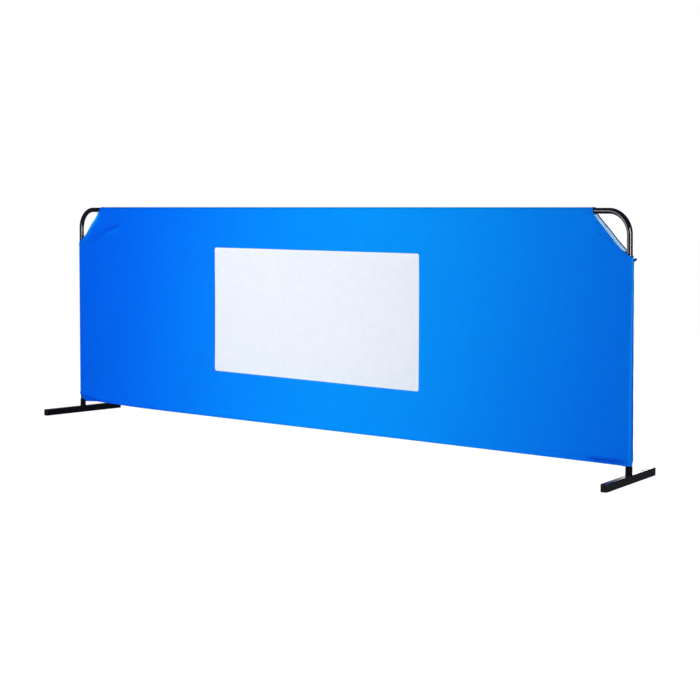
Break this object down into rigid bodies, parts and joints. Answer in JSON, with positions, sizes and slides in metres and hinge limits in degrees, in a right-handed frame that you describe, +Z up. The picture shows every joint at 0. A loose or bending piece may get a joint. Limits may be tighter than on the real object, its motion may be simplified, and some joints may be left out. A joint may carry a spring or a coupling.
{
  "type": "table tennis court barrier",
  "caption": "Free-standing court barrier: a blue cloth cover stretched over a bent steel tube frame with swivelling foot bars.",
  "frame": {"origin": "on the floor, at the middle of the object's length and depth with the feet turned as they stand", "axes": "+X along the panel, to the right as seen from its front; -Y is the front; +Z up"},
  "size_m": [2.3646, 0.3254, 0.7345],
  "materials": {
    "frame_paint": "gloss black powder coat",
    "foot_paint": "satin black powder coat",
    "cap_plastic": "moulded black",
    "nylon": "natural nylon",
    "zinc_steel": "zinc plated",
    "cover_cloth": "printed polyester, bright blue outside",
    "lining_cloth": "pale blue hems, the unprinted side of the cloth",
    "binding_cloth": "dark blue binding tape",
    "closure_tape": "black hook and loop tape"
  },
  "bodies": {
    "frame": {"frame_tube_left": "frame_paint", "frame_tube_right": "frame_paint", "bottom_rail_left": "frame_paint", "bottom_rail_right": "frame_paint", "top_ferrule": "zinc_steel", "bottom_ferrule": "zinc_steel", "ferrule_screw_top_left": "zinc_steel", "ferrule_screw_top_right": "zinc_steel", "ferrule_screw_bottom_left": "zinc_steel", "ferrule_screw_bottom_right": "zinc_steel", "upright_plug_left": "zinc_steel", "upright_plug_right": "zinc_steel", "pivot_screw_left": "zinc_steel", "pivot_screw_right": "zinc_steel", "cover_front": "cover_cloth", "cover_back": "cover_cloth", "cover_top_band": "cover_cloth", "hem_flap": "cover_cloth", "loop_tape": "closure_tape", "hook_tape": "closure_tape", "side_binding_left": "binding_cloth", "side_binding_right": "binding_cloth", "cut_hem_front_left": "lining_cloth", "cut_hem_front_right": "lining_cloth", "cut_hem_back_left": "lining_cloth", "cut_hem_back_right": "lining_cloth"},
    "left_foot": {"foot_bar_left": "foot_paint", "foot_socket_left": "foot_paint", "foot_cap_left_front": "cap_plastic", "foot_cap_left_back": "cap_plastic", "screw_washer_left": "zinc_steel", "thrust_washer_left": "nylon"},
    "right_foot": {"foot_bar_right": "foot_paint", "foot_socket_right": "foot_paint", "foot_cap_right_front": "cap_plastic", "foot_cap_right_back": "cap_plastic", "screw_washer_right": "zinc_steel", "thrust_washer_right": "nylon"}
  },
  "joints": [
    {"name": "left_foot_swivel", "type": "hinge", "parent": "frame", "child": "left_foot", "pos_m": [-1.16708, 0, 0.022], "axis": [0, 0, 1], "continuous": true},
    {"name": "right_foot_swivel", "type": "hinge", "parent": "frame", "child": "right_foot", "pos_m": [1.14492, 0, 0.022], "axis": [0, 0, 1], "continuous": true}
  ]
}
